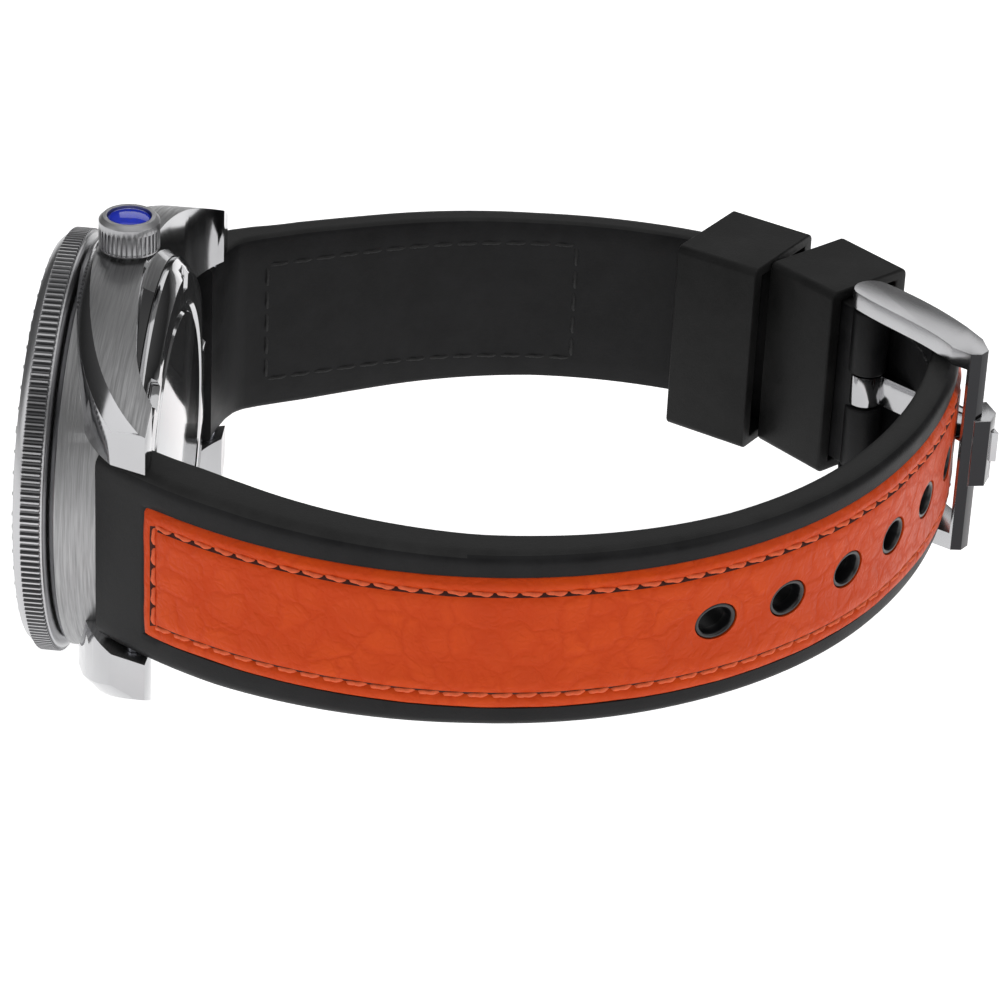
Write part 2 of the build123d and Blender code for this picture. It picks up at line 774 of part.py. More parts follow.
with BuildPart() as strap_long:
    outline = band(long_point, 0, long_length, lambda s: 0, lambda s: ramp(long_thickness, s))
    extrude(outline, amount=strap_half_width, both=True)
    extrude(width_wedge(strap_half_width, tail_half_width), amount=50, both=True, mode=Mode.INTERSECT)
    revolve(head_room(0.3), axis=Axis.X, mode=Mode.SUBTRACT)
    recess = band(long_point, inlay_low, inlay_high, lambda s: -1, lambda s: inlay_depth)
    extrude(recess, amount=inlay_half_width, both=True, mode=Mode.SUBTRACT)
    for along in hole_places:
        with BuildSketch(surface_plane(along, inlay_depth + 0.4)):
            SlotOverall(4.4, 3.6)
        extrude(amount=0.6 + inlay_depth)
    for along in hole_places:
        with BuildSketch(surface_plane(along, 6)):
            SlotOverall(3.4, 2.6)
        extrude(amount=8, mode=Mode.SUBTRACT)
    for turn in tongue_play:
        extrude(tongue_outline(0.3, turn), amount=tongue_half + 0.2, both=True, mode=Mode.SUBTRACT)
    with BuildSketch(Plane.XY.offset(-15)):
        with Locations((bar_x, -bar_y)):
            Circle(0.78)
    extrude(amount=30, mode=Mode.SUBTRACT)
save(strap_long, "strap_long")

with BuildPart() as inlay_long:
    ends = (inlay_low + 0.05, inlay_high - 0.05)
    outline = band(long_point, *ends, lambda s: -0.15, lambda s: inlay_depth - 0.02)
    extrude(outline, amount=inlay_half_width - 0.05, both=True)
    for along in hole_places:
        with BuildSketch(surface_plane(along, 3)):
            SlotOverall(4.5, 3.7)
        extrude(amount=5, mode=Mode.SUBTRACT)
    for turn in tongue_play:
        extrude(tongue_outline(0.35, turn), amount=tongue_half + 0.25, both=True, mode=Mode.SUBTRACT)
save(inlay_long, "inlay_long")

short_inlay_low, short_inlay_high = 8.0, 44.0


def short_outer(along):
    """Height of the short strap's outer face over its inner face."""
    return ramp(short_thickness, along)


def short_proud(height):
    """Height over the inner face of a level above or below the outer face."""
    return lambda along: short_outer(along) + height


with BuildPart() as strap_short:
    outline = band(short_point, 0, short_length, short_outer, lambda s: 0)
    extrude(outline, amount=strap_half_width, both=True)
    extrude(width_wedge(strap_half_width, tail_half_width), amount=50, both=True, mode=Mode.INTERSECT)
    with BuildSketch(Plane.XY.offset(-tail_half_width)):
        with Locations((buckle_x, buckle_y)):
            Circle(1.9)
    extrude(amount=2 * tail_half_width)
    revolve(head_room(0.3), axis=Axis.X, mode=Mode.SUBTRACT)
    recess = band(short_point, short_inlay_low, short_inlay_high, short_proud(1), short_proud(-inlay_depth))
    extrude(recess, amount=inlay_half_width, both=True, mode=Mode.SUBTRACT)
    with BuildSketch(Plane.XY.offset(-15)):
        with Locations((bar_x, bar_y)):
            Circle(0.78)
        with Locations((buckle_x, buckle_y)):
            Circle(0.93)
    extrude(amount=30, mode=Mode.SUBTRACT)
    # slot for the tongue's barrel
    with BuildSketch(Plane.XY.offset(-2.0)):
        with Locations(Location((buckle_x, buckle_y, 0), degrees(end_angle))):
            with Locations((1.2, 0)):
                Rectangle(6.4, 6)
    extrude(amount=4.0, mode=Mode.SUBTRACT)
save(strap_short, "strap_short")

with BuildPart() as inlay_short:
    ends = (short_inlay_low + 0.05, short_inlay_high - 0.05)
    outline = band(short_point, *ends, short_proud(0.15), short_proud(0.02 - inlay_depth))
    extrude(outline, amount=inlay_half_width - 0.05, both=True)
save(inlay_short, "inlay_short")


def stitch_row(point, edge_depth, low, high, inset):
    """Row of round threads sunk a little into a face, both sides of the inlay."""
    with BuildPart() as row:
        for along in stations(low, high, 2.8):
            x, y, angle = point(along, edge_depth(along))
            for side in (-1, 1):
                plane = Plane(
                    origin=(x - 0.8 * cos(angle), y - 0.8 * sin(angle), side * inset),
                    x_dir=(0, 0, 1), z_dir=(cos(angle), sin(angle), 0),
                )
                with BuildSketch(plane):
                    Circle(0.22)
                extrude(amount=1.6)
    return row


stitch_side = inlay_half_width - 1.0
stitches_long = stitch_row(long_point, lambda s: -0.45, inlay_low + 2.0, inlay_high - 2.0, stitch_side)
save(stitches_long, "stitches_long")
stitches_short = stitch_row(
    short_point, short_proud(0.45), short_inlay_low + 2.0, short_inlay_high - 2.0, stitch_side,
)
save(stitches_short, "stitches_short")

for name, side in (("spring_bar_12", 1), ("spring_bar_6", -1)):
    with BuildPart() as spring_bar:
        with BuildSketch(Plane.XY.offset(-10)):
            with Locations((bar_x, side * bar_y)):
                Circle(0.75)
        extrude(amount=20)
        with BuildSketch(Plane.XY.offset(-11.2)):
            with Locations((bar_x, side * bar_y)):
                Circle(0.4)
        extrude(amount=22.4)
    save(spring_bar, name)

# ---------------------------------------------------------------- keepers and buckle


def keeper(along, face_gap, length, depth):
    """Square rubber loop round both straps, set by its place on the short strap."""
    x, y, angle = short_point(along, -face_gap)
    plane = Plane(origin=(x, y, 0), x_dir=(cos(angle), sin(angle), 0), z_dir=(0, 0, 1))
    with BuildPart() as loop:
        with BuildSketch(plane):
            with Locations((0, depth / 2)):
                Rectangle(length, depth)
        extrude(amount=keeper_half, both=True)
        edges = loop.edges().filter_by(lambda e: abs((e % 0).dot(Vector(cos(angle), sin(angle), 0))) > 0.99)
        fillet(edges, radius=0.8)
        with BuildSketch(plane):
            with Locations((0, depth / 2)):
                Rectangle(length + 2, depth - 2 * keeper_wall)
        extrude(amount=keeper_half - 1.1, both=True, mode=Mode.SUBTRACT)
    return loop


keeper_free = keeper(free_keeper_at, 4.9, 9.2, 11.5)
save(keeper_free, "keeper_free")
keeper_fixed = keeper(fixed_keeper_at, keeper_wall + 0.1, 9.0, 10.5)
save(keeper_fixed, "keeper_fixed")

with BuildPart() as buckle_bar:
    with BuildSketch(Plane.XY.offset(-frame_half + 0.5)):
        with Locations((buckle_x, buckle_y)):
            Circle(0.9)
    extrude(amount=2 * frame_half - 1.0)
save(buckle_bar, "buckle_bar")

with BuildPart() as buckle_frame:
    with BuildSketch(frame_plane):
        with BuildLine():
            Spline((0, 2.0), (6, 2.0), (11.4, 1.2))
            Polyline((11.4, 1.2), (14.1, 0.45), (16.1, -0.9), (16.3, -2.1), (15.6, -2.9), (13.6, -3.3))
            Spline((13.6, -3.3), (10.5, -2.6), (5, -2.3), (0, -2.0))
            ThreePointArc((0, -2.0), (-2.0, 0), (0, 2.0))
        make_face()
    extrude(amount=frame_half, both=True)
    with BuildSketch(frame_plane):
        with BuildLine():
            Polyline(
                (-3, -5), (15.3, -5), (15.3, -2.6), (14.4, -1.3),
                (13.4, 0.1), (13.2, 3.5), (-3, 3.5), close=True,
            )
        make_face()
    extrude(amount=frame_half - 1.8, both=True, mode=Mode.SUBTRACT)
    with BuildSketch(frame_plane):
        with BuildLine():
            Polyline(
                (13.6, 0.3), (14.2, 1.9), (16.4, 0.9), (17.3, -0.9), (16.4, -2.2), (15.0, -1.6), close=True,
            )
        make_face()
    extrude(amount=3.6, both=True)
    extrude(tongue_outline(0.15), amount=tongue_half + 0.15, both=True, mode=Mode.SUBTRACT)
    with BuildSketch(frame_plane):
        Circle(0.91)
    extrude(amount=frame_half - 0.45, both=True, mode=Mode.SUBTRACT)
save(buckle_frame, "buckle_frame")

with BuildPart() as buckle_tongue:
    extrude(tongue_outline(0), amount=tongue_half, both=True)
    with BuildSketch(frame_plane):
        Circle(1.65)
    extrude(amount=tongue_half, both=True)
    with BuildSketch(frame_plane):
        Circle(0.94)
    extrude(amount=tongue_half, both=True, mode=Mode.SUBTRACT)
save(buckle_tongue, "buckle_tongue")
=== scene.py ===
import json
import math

import bpy
from mathutils import Euler, Matrix, Vector


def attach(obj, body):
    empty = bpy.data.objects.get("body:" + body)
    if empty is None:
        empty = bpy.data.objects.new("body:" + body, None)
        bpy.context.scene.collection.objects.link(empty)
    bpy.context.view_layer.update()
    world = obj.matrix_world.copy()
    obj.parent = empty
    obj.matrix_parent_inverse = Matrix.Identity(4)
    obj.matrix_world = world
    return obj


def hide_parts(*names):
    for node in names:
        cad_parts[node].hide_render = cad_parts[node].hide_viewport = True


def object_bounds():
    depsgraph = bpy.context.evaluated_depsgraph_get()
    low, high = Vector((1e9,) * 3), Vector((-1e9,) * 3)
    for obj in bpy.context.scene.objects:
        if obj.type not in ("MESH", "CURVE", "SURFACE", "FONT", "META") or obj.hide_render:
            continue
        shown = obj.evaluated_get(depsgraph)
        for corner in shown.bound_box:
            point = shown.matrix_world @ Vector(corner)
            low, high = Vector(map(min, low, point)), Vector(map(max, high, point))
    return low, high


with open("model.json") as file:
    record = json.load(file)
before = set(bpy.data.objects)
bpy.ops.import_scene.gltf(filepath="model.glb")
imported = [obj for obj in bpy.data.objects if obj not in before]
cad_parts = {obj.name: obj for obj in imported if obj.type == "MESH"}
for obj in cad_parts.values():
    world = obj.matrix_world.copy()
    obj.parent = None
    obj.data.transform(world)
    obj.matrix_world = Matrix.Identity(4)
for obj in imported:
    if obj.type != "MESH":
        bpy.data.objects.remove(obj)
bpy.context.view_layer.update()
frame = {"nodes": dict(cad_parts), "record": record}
nodes = frame["nodes"]
mm = 0.001
print("frame loaded,", len(nodes), "nodes")


# small tools for picking and shaping

def clearPick():
    if bpy.context.mode != "OBJECT":
        bpy.ops.object.mode_set(mode="OBJECT")
    bpy.ops.object.select_all(action="DESELECT")


def only(obj):
    clearPick()
    obj.select_set(True)
    bpy.context.view_layer.objects.active = obj
    return obj


def added(name):
    obj = bpy.context.active_object
    obj.name = obj.data.name = name
    return obj


def settle(obj):
    only(obj)
    bpy.ops.object.transform_apply(location=True, rotation=True, scale=True)
    return obj


def pick(obj, test, kind="VERT"):  # leaves obj in edit mode with what passes the test picked
    only(obj)
    bpy.context.tool_settings.mesh_select_mode = (kind == "VERT", kind == "EDGE", kind == "FACE")
    mesh = obj.data
    for group in (mesh.vertices, mesh.edges, mesh.polygons):
        group.foreach_set("select", [False] * len(group))
    for item in {"VERT": mesh.vertices, "EDGE": mesh.edges, "FACE": mesh.polygons}[kind]:
        item.select = test(item)
    bpy.ops.object.mode_set(mode="EDIT")


def done():
    bpy.ops.object.mode_set(mode="OBJECT")


def modify(obj, kind, **settings):
    only(obj)
    modifier = obj.modifiers.new(kind.lower(), kind)
    for key, value in settings.items():
        setattr(modifier, key, value)
    bpy.ops.object.modifier_apply(modifier=modifier.name)
    return obj


def outward(obj):
    pick(obj, lambda v: True)
    bpy.ops.mesh.remove_doubles(threshold=1e-7)
    bpy.ops.mesh.select_all(action="SELECT")
    bpy.ops.mesh.normals_make_consistent(inside=False)
    done()
    return obj


def smooth(obj, angle=35):
    only(obj)
    bpy.ops.object.shade_smooth_by_angle(angle=math.radians(angle))
    return obj


def joined(parts, name):
    clearPick()
    for part in parts:
        part.select_set(True)
    bpy.context.view_layer.objects.active = parts[0]
    if len(parts) > 1:
        bpy.ops.object.join()
    parts[0].name = parts[0].data.name = name
    return parts[0]


def copied(obj):
    twin = obj.copy()
    twin.data = obj.data.copy()
    bpy.context.collection.objects.link(twin)
    return twin


def cutAway(obj, tool, operation="DIFFERENCE"):
    modify(obj, "BOOLEAN", object=tool, operation=operation, solver="EXACT")
    bpy.data.objects.remove(tool)
    return obj


def ramp(table, at):
    for (low, a), (high, b) in zip(table, table[1:]):
        if at <= high:
            return a + (b - a) * max(0, at - low) / (high - low)
    return table[-1][1]


# shader building

class Value:
    def __init__(self, graph, socket):
        self.graph, self.socket = graph, socket

    def math(self, operation, other=0.0, swap=False):
        pair = {0: other, 1: self} if swap else {0: self, 1: other}
        return self.graph.node("ShaderNodeMath", {"operation": operation}, pair)

    def __add__(self, other):
        return self.math("ADD", other)

    __radd__ = __add__

    def __mul__(self, other):
        return self.math("MULTIPLY", other)

    __rmul__ = __mul__

    def __sub__(self, other):
        return self.math("SUBTRACT", other)

    def __rsub__(self, other):
        return self.math("SUBTRACT", other, swap=True)


class Finish:
    def __init__(self, name, **surface):
        self.material = bpy.data.materials.new(name)
        self.material.use_nodes = True
        self.tree = self.material.node_tree
        self.surface = self.tree.nodes["Principled BSDF"]
        for key, value in surface.items():
            self.set(key, value)
        self.place = self.node("ShaderNodeTexCoord", {}, {}, "Object")

    def node(self, kind, settings, sockets, output=0):
        made = self.tree.nodes.new(kind)
        for key, value in settings.items():
            if key == "stops":
                for stop in range(len(value) - 2):
                    made.color_ramp.elements.new(0.5)
                for element, (position, colour) in zip(made.color_ramp.elements, value):
                    element.position, element.color = position, colour
            else:
                setattr(made, key, value)
        for key, value in sockets.items():
            self.feed(made.inputs[key], value)
        return Value(self, made.outputs[output])

    def feed(self, socket, value):
        if isinstance(value, Value):
            self.tree.links.new(value.socket, socket)
        elif isinstance(value, tuple) and socket.type == "RGBA" and len(value) == 3:
            socket.default_value = (*value, 1)
        else:
            socket.default_value = value

    def set(self, key, value):
        self.feed(self.surface.inputs[key.replace("_", " ")], value)

    def spread(self, scale, turn=(0, 0, 0)):  # object place, stretched
        return self.node("ShaderNodeMapping", {}, {"Vector": self.place, "Scale": scale, "Rotation": turn})

    def noise(self, scale, detail=4, rough=0.55, distortion=0.0, at=None):
        return self.node(
            "ShaderNodeTexNoise", {},
            {"Vector": at or self.place, "Scale": scale, "Detail": detail, "Roughness": rough,
             "Distortion": distortion},
        )

    def blend(self, mask, low, high):
        return self.node("ShaderNodeMix", {"data_type": "RGBA"}, {"Factor": mask, 6: low, 7: high}, 2)

    def range(self, value, low, high, toLow, toHigh):
        return self.node(
            "ShaderNodeMapRange", {},
            {"Value": value, "From Min": low, "From Max": high, "To Min": toLow, "To Max": toHigh},
        )

    def bump(self, height, distance, strength=1.0):
        self.set("Normal", self.node(
            "ShaderNodeBump", {}, {"Height": height, "Distance": distance, "Strength": strength},
        ))


def scaled(colour, *factors):
    return tuple(min(1, part * factor) for part, factor in zip(colour, factors * 3))


def rubberFinish(name, colour, rough=0.5, grain=0.00003):
    made = Finish(name, IOR=1.5, Specular_IOR_Level=0.17)
    cloud = made.noise(260, 5)
    fine = made.noise(6500, 2)
    light = tuple(min(1, c * 1.7 + 0.004) for c in colour)
    made.set("Base Color", made.blend(made.range(cloud, 0.35, 0.75, 0, 1), colour, light))
    made.set("Roughness", made.range(cloud, 0.3, 0.7, rough - 0.06, rough + 0.08))
    made.bump(fine + made.noise(1400, 3) * 0.6, grain, 0.7)
    return made.material


def steelFinish(name, colour=(0.62, 0.62, 0.63), rough=0.08, streak=None, depth=0.000004, smear=0.04):
    made = Finish(name, Metallic=1.0)
    cloud = made.noise(180, 4)
    made.set("Base Color", made.blend(cloud, colour, scaled(colour, 0.9)))
    if streak:
        lines = made.noise(1, 3, 0.7, at=made.spread(streak))
        made.set("Base Color", made.blend(made.range(lines, 0.35, 0.65, 0, 1), colour, scaled(colour, 0.7)))
        made.set("Roughness", made.range(lines, 0.3, 0.7, rough - 0.05, rough + 0.1))
        made.bump(lines, depth, 0.8)
    else:
        made.set("Roughness", made.range(cloud, 0.3, 0.75, rough, rough + smear))
        made.bump(made.noise(900, 2), depth, 0.25)
    return made.material


def plainFinish(name, colour, rough=0.35, metallic=0.0, speckle=2500, coat=0.0):
    made = Finish(name, Metallic=metallic, Coat_Weight=coat, Coat_Roughness=0.05)
    grain = made.noise(speckle, 3)
    grained = made.range(grain, 0.3, 0.7, 0, 1)
    made.set("Base Color", made.blend(grained, colour, scaled(colour, 0.75)))
    made.set("Roughness", made.range(grain, 0.3, 0.7, max(0.02, rough - 0.06), rough + 0.06))
    made.bump(grain, 0.00001, 0.2)
    return made.material


def leatherFinish(name, colour):
    made = Finish(name, IOR=1.45, Specular_IOR_Level=0.16)
    warped = made.node(
        "ShaderNodeVectorMath", {"operation": "MULTIPLY_ADD"},
        {0: made.node("ShaderNodeTexNoise", {}, {"Vector": made.place, "Scale": 300.0, "Detail": 3.0},
                      "Color"),
         1: (0.0026, 0.0026, 0.0026), 2: made.place},
    )

    def cellular(feature, scale):
        return made.node("ShaderNodeTexVoronoi", {"feature": feature}, {"Vector": warped, "Scale": scale},
                         "Distance")

    cells = cellular("DISTANCE_TO_EDGE", 330.0)
    small = cellular("DISTANCE_TO_EDGE", 1150.0)
    # smooth cell distance, used below to paint a highlight on the pebble tops
    pebbleTopLight = cellular("SMOOTH_F1", 260.0)
    crease = made.range(cells, 0.0, 0.16, 0, 1)
    pebble = made.range(small, 0.0, 0.3, 0, 1)
    patch = made.noise(95, 4)
    shade = made.blend(made.range(patch, 0.35, 0.7, 0, 1), colour, scaled(colour, 0.86, 0.75, 0.7))
    # painted highlight: pebble centres lighter and yellower, as light on the raised grain would be
    lit = made.blend(made.range(pebbleTopLight, 0.1, 0.75, 0.45, 0), shade, scaled(colour, 1.18, 1.5, 1.8))
    # painted shade: creases and small pebble edges darker, where shade would fall
    made.set("Base Color", made.blend(crease * 0.75 + pebble * 0.25, scaled(colour, 0.92, 0.84, 0.8), lit))
    made.set("Roughness", made.range(crease * 0.6 + pebble * 0.4, 0, 1, 0.56, 0.36))
    made.bump(crease * 0.6 + pebble * 0.3 + made.noise(4200, 3) * 0.2, 0.0001, 0.8)
    return made.material


def threadFinish(name, colour):
    made = Finish(name)
    fibre = made.noise(5200, 4, 0.7)
    made.set("Base Color", made.blend(made.range(fibre, 0.3, 0.7, 0, 1), scaled(colour, 0.72), colour))
    made.set("Roughness", made.range(fibre, 0.3, 0.7, 0.6, 0.85))
    made.bump(fibre, 0.00004, 0.8)
    return made.material


def glassFinish(name):
    made = Finish(name, IOR=1.45, Transmission_Weight=1.0, Base_Color=(0.97, 0.98, 1.0))
    made.set("Roughness", made.range(made.noise(120, 2), 0.3, 0.7, 0.0, 0.015))
    return made.material


finishes = {
    "strapBlack": rubberFinish("strapBlack", (0.006, 0.006, 0.0065), 0.46),
    "strapEdge": rubberFinish("strapEdge", (0.016, 0.016, 0.016), 0.52),
    "keeperBlack": rubberFinish("keeperBlack", (0.008, 0.008, 0.008), 0.5),
    "eyeletGloss": plainFinish("eyeletGloss", (0.005, 0.005, 0.006), 0.34, coat=0.1),
    "leather": leatherFinish("orangeLeather", (0.58, 0.056, 0.003)),
    "thread": threadFinish("orangeThread", (0.8, 0.12, 0.03)),
    "darkThread": threadFinish("darkThread", (0.012, 0.012, 0.012)),
    "seamShade": plainFinish("seamShade", (0.045, 0.006, 0.002), 0.9),
    "brushedCase": steelFinish("brushedCase", (0.36, 0.36, 0.365), 0.36, (5200, 150, 150), 0.00003),
    "polished": steelFinish("polishedSteel", (0.46, 0.46, 0.47), 0.1),
    # dark steel for a painted dark reflection on the buckle frame's free end
    "steelPaintedDarkReflection": steelFinish("steelPaintedDarkReflection", (0.035, 0.035, 0.037), 0.12),
    "buckleSteel": steelFinish("buckleSteel", (0.5, 0.5, 0.51), 0.24),
    "mirror": steelFinish("mirrorBack", (0.56, 0.56, 0.57), 0.06),
    "bezelSteel": steelFinish("bezelSteel", (0.5, 0.5, 0.51), 0.3),
    # darker steel for painted shade in the grooves between the bezel teeth
    "bezelGroovePaintedShade": steelFinish("bezelGroovePaintedShade", (0.16, 0.16, 0.165), 0.4),
    "crownSteel": steelFinish("crownSteel", (0.4, 0.4, 0.41), 0.3),
    "crownRim": steelFinish("crownRim", (0.46, 0.46, 0.47), 0.42),
    "cabochon": plainFinish("blueCabochon", (0.004, 0.035, 0.78), 0.1, coat=0.5),
    "glass": glassFinish("clearCrystal"),
    "insert": plainFinish("insertGloss", (0.005, 0.009, 0.02), 0.12, coat=1.0),
    "print": plainFinish("whitePrint", (0.75, 0.76, 0.74), 0.4),
    "orangePrint": plainFinish("orangePrint", (0.75, 0.14, 0.02), 0.4),
    "lume": plainFinish("paleLume", (0.72, 0.8, 0.66), 0.6),
    "dial": steelFinish("dialSunray", (0.01, 0.022, 0.06), 0.3),
    "chapter": plainFinish("chapterRing", (0.01, 0.014, 0.03), 0.45),
    "seal": rubberFinish("sealRubber", (0.008, 0.008, 0.008), 0.55),
    "gilt": steelFinish("giltWheel", (0.75, 0.56, 0.24), 0.22, (4000, 4000, 300)),
    "nickel": steelFinish("nickelPlate", (0.62, 0.6, 0.56), 0.25, (200, 5200, 300)),
    "springSteel": steelFinish("springSteel", (0.42, 0.43, 0.47), 0.18),
    "ruby": plainFinish("rubyJewel", (0.5, 0.01, 0.08), 0.08, coat=1.0),
    "liner": plainFinish("linerPlastic", (0.55, 0.55, 0.52), 0.5),
}
cadFinish = {
    "case_steel": "brushedCase", "polished_steel": "polished", "bezel_steel": "bezelSteel",
    "sapphire": "glass", "insert": "insert", "luminous": "lume",
    "dial_paint": "dial", "chapter": "chapter", "hand_steel": "polished",
    "hand_orange": "orangePrint", "blue_cap": "cabochon", "black_rubber": "strapBlack",
    "orange_leather": "leather", "orange_thread": "thread", "seal_rubber": "seal",
    "movement_metal": "nickel", "gilt_brass": "gilt", "ruby": "ruby",
    "spring_steel": "springSteel", "rotor_metal": "nickel", "liner": "liner",
}


def dress(obj, *names):
    obj.data.materials.clear()
    for name in names:
        obj.data.materials.append(finishes[name])
    return obj


def place(obj, body, slot, *replaced):
    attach(obj, body)
    if replaced:
        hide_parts(*replaced)
    return obj


for part in frame["record"]["subparts"]:
    dress(nodes[part["node"]], cadFinish[part["material_slot"]])
print("finishes made,", len(finishes))

# straps: made flat, then bent along their worn curve

straps = {
    "long": {
        "start": (-4.3, -20.1), "heading": -39.5,
        "arcs": [(14, 15.5), (20, 23), (24, 31), (26, 32), (24, 23), (14.4, 52), (10, 1), (3, 3.5)],
        "thickness": [
            (0, 4.4), (10, 5.2), (20, 4.9), (45, 4.2), (65, 3.3), (108, 2.9), (132, 2.75), (136, 2.6),
        ],
        "inlay": (6.3, 128.4), "outerFirst": True,
    },
    "short": {
        "start": (0.2, 19.6), "heading": 85,
        "arcs": [(5, -10), (4, -46), (14, -3), (16, -20), (15, -18), (3, -16), (5.4, 0), (3, -16), (12, 0)],
        "thickness": [(0, 4.6), (6, 4.2), (12, 3.4), (50, 3.1), (78, 3.1)],
        "inlay": (8.0, 44.0), "outerFirst": False,
    },
}
strapShape = {
    "halfWidth": [(0, 9.8), (14.5, 9.8), (39, 9.0), (105, 8.83), (146, 8.8)], "inlayHalf": 6.7, "recess": 0.8,
    "grain": (("VORONOI", 0.0042, 0.00011), ("CLOUDS", 0.0011, 0.00004), ("CLOUDS", 0.009, 0.00012)),
    "stitchInset": 1.35, "stitchPitch": 2.2, "step": 1.6, "backInset": 3.3,
}
eyelet = {
    "first": 62.0, "pitch": 8.2, "count": 8, "sides": 32,
    "outer": (2.2, 1.8), "hole": (1.7, 1.3), "proud": 0.28,
}


def strapPath(name, spec):
    curve = bpy.data.curves.new(name, "CURVE")
    curve.dimensions, curve.resolution_u = "2D", 40
    spline = curve.splines.new("BEZIER")
    spline.bezier_points.add(len(spec["arcs"]))
    x, y, angle = *spec["start"], math.radians(spec["heading"])
    reach = 0.0
    for point, (length, turn) in zip(spline.bezier_points, [*spec["arcs"], (6, 0)]):
        bend = math.radians(turn)
        forward = length / 3 if not turn else 4 / 3 * math.tan(bend / 4) * length / bend
        along = Vector((math.cos(angle), math.sin(angle), 0))
        point.co = Vector((x, y, 0)) * mm
        point.handle_left = point.co - along * (reach or forward) * mm
        point.handle_right = point.co + along * forward * mm
        if turn:
            x += (math.sin(angle + bend) - math.sin(angle)) * length / bend
            y -= (math.cos(angle + bend) - math.cos(angle)) * length / bend
        else:
            x, y = x + length * math.cos(angle), y + length * math.sin(angle)
        angle, reach = angle + bend, forward
    path = bpy.data.objects.new(name, curve)
    bpy.context.collection.objects.link(path)
    path.hide_render = True
    return path


def level(spec, along, depth):  # flat height of a depth under the outer face
    return depth if spec["outerFirst"] else ramp(spec["thickness"], along) - depth


def strapBody(name, spec):
    total = sum(length for length, turn in spec["arcs"])
    half, recess, thick = strapShape["inlayHalf"], strapShape["recess"], 4.0
    side = [
        (0, recess), (3.4, recess), (half + 0.02, recess), (half + 0.03, 0.12), (half + 0.14, 0.0),
        (half + 0.9, -0.02),
        (8.45, 0.0), (8.85, 0.08), (9.2, 0.26), (9.5, 0.55), (9.7, 0.95), (9.8, 1.5), (9.8, thick - 0.7),
        (9.72, thick - 0.35), (9.5, thick - 0.1), (9.15, thick), (6.6, thick), (3.3, thick), (0, thick),
    ]
    outline = [*side, *[(-z, y) for z, y in side[-2:0:-1]]]
    bpy.ops.mesh.primitive_circle_add(vertices=len(outline), radius=0.01, fill_type="NGON")
    strap = added(name)
    for vertex, (z, y) in zip(strap.data.vertices, outline):
        vertex.co = (0, y * mm, z * mm)
    pick(strap, lambda face: True, "FACE")
    bpy.ops.mesh.extrude_region_move(TRANSFORM_OT_translate={"value": (total * mm, 0, 0)})
    low, high = spec["inlay"]
    count = round(total / strapShape["step"])
    cuts = [low - 0.9, low - 0.3, low - 0.02, low + 0.02, high - 0.02, high + 0.02]
    steps = [total * i / count for i in range(1, count)]
    tipCuts = [total - 1.4, total - 0.7, total - 0.25]
    cuts = cuts + tipCuts + [step for step in steps if min(abs(step - cut) for cut in cuts) > 0.2]
    for cut in cuts:
        bpy.ops.mesh.select_all(action="SELECT")
        bpy.ops.mesh.bisect(plane_co=(cut * mm, 0, 0), plane_no=(1, 0, 0))
    done()
    for vertex in strap.data.vertices:
        along, y, z = vertex.co / mm
        width, deep = ramp(strapShape["halfWidth"], along), ramp(spec["thickness"], along)
        if abs(z) < half + 0.035 and y < 1 and not low < along < high:
            y = 0
        if y > 2:
            y += deep - thick
        elif y > 1.4:
            y = min(y, deep * 0.5)
        if abs(z) > half + 0.1:
            lip = half + 0.1
            z = math.copysign(lip + (abs(z) - lip) * (width - lip) / (9.8 - lip), z)
        tip = along - (total - 5)
        if tip > 0 and spec["outerFirst"]:
            z *= 1 - 0.16 * (tip / 5) ** 2.5
        end = total - along
        if end < 0.8:
            y = deep / 2 + (y - deep / 2) * (1 - 0.14 * (1 - end / 0.8) ** 2)
        vertex.co = Vector((along, level(spec, along, y), z)) * mm
    return outward(strap)


def stitchGroove(along, across, low, high, row):
    side = math.exp(-((abs(across) - row) / 0.34) ** 2)
    ends = min(abs(along - low), abs(high - along))
    if abs(across) < row and min(along - low, high - along) < 1:
        side = max(side, math.exp(-(ends / 0.34) ** 2))
    return side if min(along - low, high - along) > -0.2 else 0


